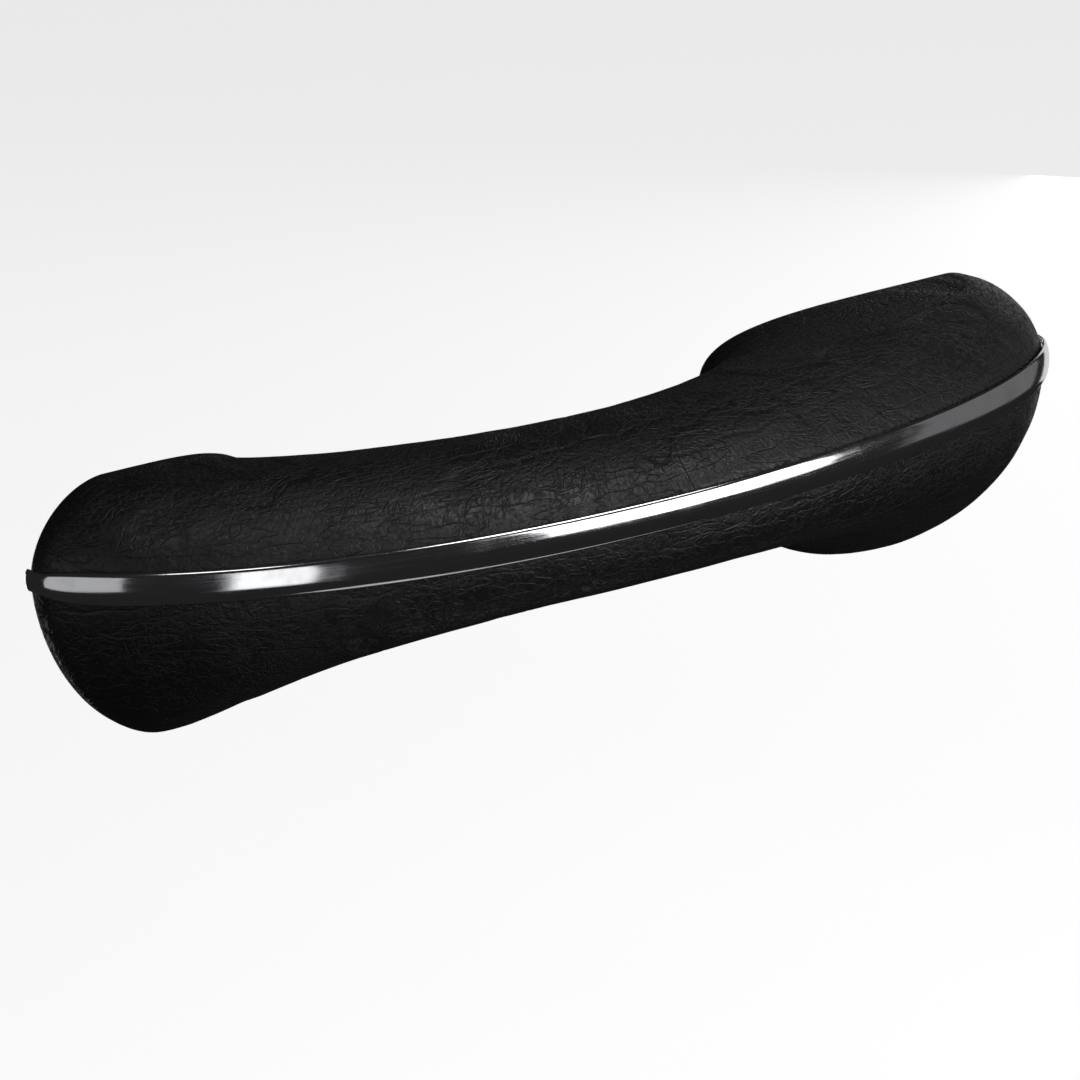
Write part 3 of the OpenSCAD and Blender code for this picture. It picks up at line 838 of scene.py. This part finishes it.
def bent_order(piece, lattice):
    """Row and column of each vertex. The grid numbers its vertices row by row."""
    count = len(piece.data.vertices)
    co = np.zeros(count * 3)
    piece.data.vertices.foreach_get("co", co)
    numbers = np.arange(count)
    columns = lattice.shape[1]
    by_column = numbers // lattice.shape[0], numbers % lattice.shape[0]
    order = (by_column[1], by_column[0])
    if np.abs(lattice[order] - co.reshape(-1, 3)).max() > 1e-5:
        order = (numbers // columns, numbers % columns)
    print("  vertex order error, m:", float(np.abs(lattice[order] - co.reshape(-1, 3)).max()))
    return order


upper_skin = build_cover("upper_vinyl", True, UPPER_FOLDS, 4.3)
lower_skin = build_cover("lower_vinyl", False, LOWER_FOLDS, 8.1)
for piece, node_name in ((upper_skin, "upper_cover"), (lower_skin, "lower_cover")):
    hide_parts(node_name)
    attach(piece, "root")

# %% [markdown]
# ## The bright strip
# The strip is one rolled channel. Its face is a shallow crown and its two edges are hemmed
# inwards, so no sharp edge meets the vinyl. The section is a closed line, and the grid that
# follows it round the bow is welded where the line closes.


# %% Strip section and sweep
STRIP_CROWN = 1.6 * MM
STRIP_EDGE = -0.15 * MM
STRIP_WALL = 0.5 * MM
STRIP_TIP = 0.65           # the strip's ends, as a share of its full section
STRIP_ROWS, STRIP_COLUMNS = 620, 36


def strip_section():
    """Closed line of the strip's section: crown outwards, hemmed edges, hollow behind."""
    t = np.linspace(-math.pi / 2, math.pi / 2, 48)
    outer = np.stack([STRIP_EDGE - STRIP_CROWN * np.cos(t), STRIP_HALF * np.sin(t)], 1)
    inner = np.stack([STRIP_EDGE - (STRIP_CROWN - STRIP_WALL) * np.cos(t),
                      (STRIP_HALF - STRIP_WALL) * np.sin(t)], 1)[::-1]
    edge = STRIP_WALL / 2
    top = arc((STRIP_EDGE, STRIP_HALF - edge), edge, 90, -90)
    bottom = arc((STRIP_EDGE, -STRIP_HALF + edge), edge, 90, -90)
    return np.concatenate([outer, top[1:], inner[1:], bottom[1:]])


def strip_lattice():
    end_run = BASE - HEM_BACK
    section, girth = evenly(strip_section(), STRIP_COLUMNS + 1)
    distances = np.linspace(-end_run, BOW_LENGTH + end_run, STRIP_ROWS + 1)
    lattice = np.zeros((STRIP_ROWS + 1, STRIP_COLUMNS + 1, 3))
    chart = np.zeros((STRIP_ROWS + 1, STRIP_COLUMNS + 1, 2))
    for i, distance in enumerate(distances):
        a = angle_at(min(max(distance, 0.0), BOW_LENGTH))
        start, inward, _ = across(a)
        share = mix(1.0, STRIP_TIP, abs(math.cos(a)) ** 60)
        lattice[i, :, :2] = start + (STRIP_EDGE + (section[:, :1] - STRIP_EDGE) * share) * inward
        lattice[i, :, 1] += max(-distance, distance - BOW_LENGTH, 0.0)
        lattice[i, :, 2] = section[:, 1] * share + LINE
        chart[i, :, 0] = distance
        chart[i, :, 1] = np.linspace(0, girth, STRIP_COLUMNS + 1)
    return lattice, chart


def close_ends(piece):
    """Fills the open ends of a swept piece and points its faces outwards."""
    bm = bmesh.new()
    bm.from_mesh(piece.data)
    bmesh.ops.holes_fill(bm, edges=[e for e in bm.edges if e.is_boundary], sides=0)
    bmesh.ops.recalc_face_normals(bm, faces=bm.faces)
    bm.to_mesh(piece.data)
    bm.free()


strip = bent_grid("bright_strip", *strip_lattice(), closed=True)
close_ends(strip)
strip.data.materials.append(bright)
smooth_shaded(strip)
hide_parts("trim_strip")
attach(strip, "root")
print("strip faces:", len(strip.data.polygons))

# %% [markdown]
# ## The foam
# Each half of the padding is one moulded block: it fills its cover, and a groove in its parting
# face takes the rail. It is the same kind of grid, with its section closed along the parting
# face and its ends filled.

# %% Foam blocks
FOAM_ROWS, FOAM_COLUMNS = 260, 72
FOAM_IN = VINYL + 0.1 * MM
FOAM_CORNER = 3.3 * MM     # radius at the parting face, on the finger side


def foam_section(a, upper):
    """Closed line of the foam at angle a: round under the cover, then the parting face."""
    slot = SLIT + FOAM_IN
    body = wall(a, upper, FOAM_IN, slot, FOAM_CORNER + 0.1 * MM)
    groove_end = RAIL_IN + RAIL_SLOT
    groove_start = RAIL_IN - 0.1 * MM
    parting = np.array([[groove_end, 0.05 * MM], [groove_end, RAIL_HALF],
                        [groove_start, RAIL_HALF], [groove_start, slot], body[0]])
    corner = arc((body[-1][0] - FOAM_CORNER, FOAM_CORNER + 0.05 * MM), FOAM_CORNER, 0, -90)
    return np.concatenate([body, corner[1:], parting])


def foam_lattice(upper):
    lattice = np.zeros((FOAM_ROWS + 1, FOAM_COLUMNS + 1, 3))
    chart = np.zeros((FOAM_ROWS + 1, FOAM_COLUMNS + 1, 2))
    for i, distance in enumerate(np.linspace(0, BOW_LENGTH, FOAM_ROWS + 1)):
        a = angle_at(distance)
        start, inward, _ = across(a)
        section, girth = evenly(foam_section(a, upper), FOAM_COLUMNS + 1)
        lattice[i, :, :2] = start + section[:, :1] * inward
        lattice[i, :, 2] = section[:, 1] * (1 if upper else -1) + LINE
        chart[i, :, 0] = distance
        chart[i, :, 1] = np.linspace(0, girth, FOAM_COLUMNS + 1)
    return lattice, chart


for name, upper, node_name in (("upper_foam", True, "upper_padding"),
                               ("lower_foam", False, "lower_padding")):
    block = bent_grid(name, *foam_lattice(upper), closed=True)
    close_ends(block)
    block.data.materials.append(foam)
    smooth_shaded(block)
    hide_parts(node_name)
    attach(block, "root")
    print(name, "faces:", len(block.data.polygons))

# %% [markdown]
# ## CAD pieces that stay
# The hard pieces already have their true shapes, so they keep their meshes and only take a
# finish each. A table from finish to piece names keeps that short.

# %% Finish the hard pieces
KEPT = {
    painted: ["core_rail", "left_foot_plate", "right_foot_plate"],
    plated: ["left_bolt_bush", "right_bolt_bush", "left_board_rivets", "right_board_rivets",
             "left_hem_staples", "right_hem_staples", "clip_rivets"],
    sprung: [f"trim_clip_{number}" for number in range(1, 7)],
    board: ["left_foot_board", "right_foot_board"],
}
for finish, names in KEPT.items():
    for name in names:
        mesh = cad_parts[name].data
        mesh.materials.clear()
        mesh.materials.append(finish)
    print(finish.name, "on", len(names), "pieces")

# %% [markdown]
# ## Stage and light
# Black vinyl and mirror metal show little but what they reflect, so most of the lighting is a
# choice of what stands around them. A tall soft box in front, to the right, draws the long white
# line on the strip and the sheen above it. A slim one left of the middle and a wide, dimmer one
# at the far left do the same for the left foot. Two small boxes higher up lift the top of the
# covers, and the low ones draw the thin line on the strip's lower edge and show the back. In
# between it stays dark, which is what makes the strip look bright. The floor is pale, and it is
# hidden from reflections so that the underside stays deep.

# %% Floor and surroundings
FLOOR_DROP = 0.25
bm = bmesh.new()
bmesh.ops.create_circle(bm, cap_ends=True, segments=96, radius=6.0)
bmesh.ops.translate(bm, verts=bm.verts, vec=(0, 0, cad_low.z - FLOOR_DROP))
mesh = bpy.data.meshes.new("floor")
bm.to_mesh(mesh)
bm.free()
floor = bpy.data.objects.new("floor", mesh)
bpy.context.scene.collection.objects.link(floor)
pale, tree, principled, place = new_finish("pale_floor", Roughness=0.9)
cloud = use_group(tree, patch_group, {"Vector": place, "Size": 400.0, "Low": 0.3, "High": 0.7})["Mask"]
give(tree, principled, blend_colours(tree, cloud, (0.9, 0.9, 0.9, 1), (0.94, 0.94, 0.94, 1)))
principled.inputs["Emission Color"].default_value = (1, 1, 1, 1)
principled.inputs["Emission Strength"].default_value = 0.75
mesh.materials.append(pale)
floor.visible_glossy = False
floor.visible_diffuse = False
floor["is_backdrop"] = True

world = bpy.data.worlds.new("studio")
world.use_nodes = True
tree = world.node_tree
surround = tree.nodes["Background"]
seen = node(tree, "ShaderNodeLightPath").outputs["Is Camera Ray"]
shade = blend_colours(tree, seen, (0.018, 0.018, 0.019, 1), (1, 1, 1, 1))
tree.links.new(shade, surround.inputs["Color"])
bpy.context.scene.world = world
bpy.context.scene.view_settings.view_transform = "Standard"


# %% Soft boxes
def soft_box(name, turn, rise, away, width, height, power):
    """An area light that faces the armrest from a direction in degrees, at a distance in metres."""
    lamp = bpy.data.lights.new(name, "AREA")
    lamp.shape = "RECTANGLE"
    lamp.size = width
    lamp.size_y = height
    lamp.energy = power
    toward = direction(math.radians(turn), math.radians(rise))
    placed = bpy.data.objects.new(name, lamp)
    bpy.context.scene.collection.objects.link(placed)
    facing = toward.to_track_quat("Z", "Y").to_matrix().to_4x4()
    placed.matrix_world = Matrix.Translation(PIVOT + toward * away) @ facing


soft_box("front_box", 35, 10, 1.3, 0.75, 0.85, 6.4)
soft_box("upper_right_box", 42, 54, 1.3, 0.6, 0.3, 2.8)
soft_box("left_front_box", -20, -2, 1.3, 0.34, 1.05, 1.5)
soft_box("upper_left_box", -30, 50, 1.3, 0.45, 0.3, 1.2)
soft_box("left_box", -82, 2, 1.3, 1.4, 1.0, 2.1)
soft_box("right_box", 82, 0, 1.3, 0.9, 0.9, 0.35)
soft_box("far_right_box", 124, 0, 1.3, 0.6, 0.9, 1.2)
soft_box("low_box", 50, -68, 1.3, 1.2, 0.25, 0.5)
soft_box("back_box", 180, -18, 1.5, 0.9, 0.6, 3.0)

# %% Compare the visual box with the CAD box
seen_low, seen_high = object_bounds()
past = [round(x / MM, 2) for x in (*(cad_low - seen_low), *(seen_high - cad_high))]
print("visual box past the CAD box, mm:", past)
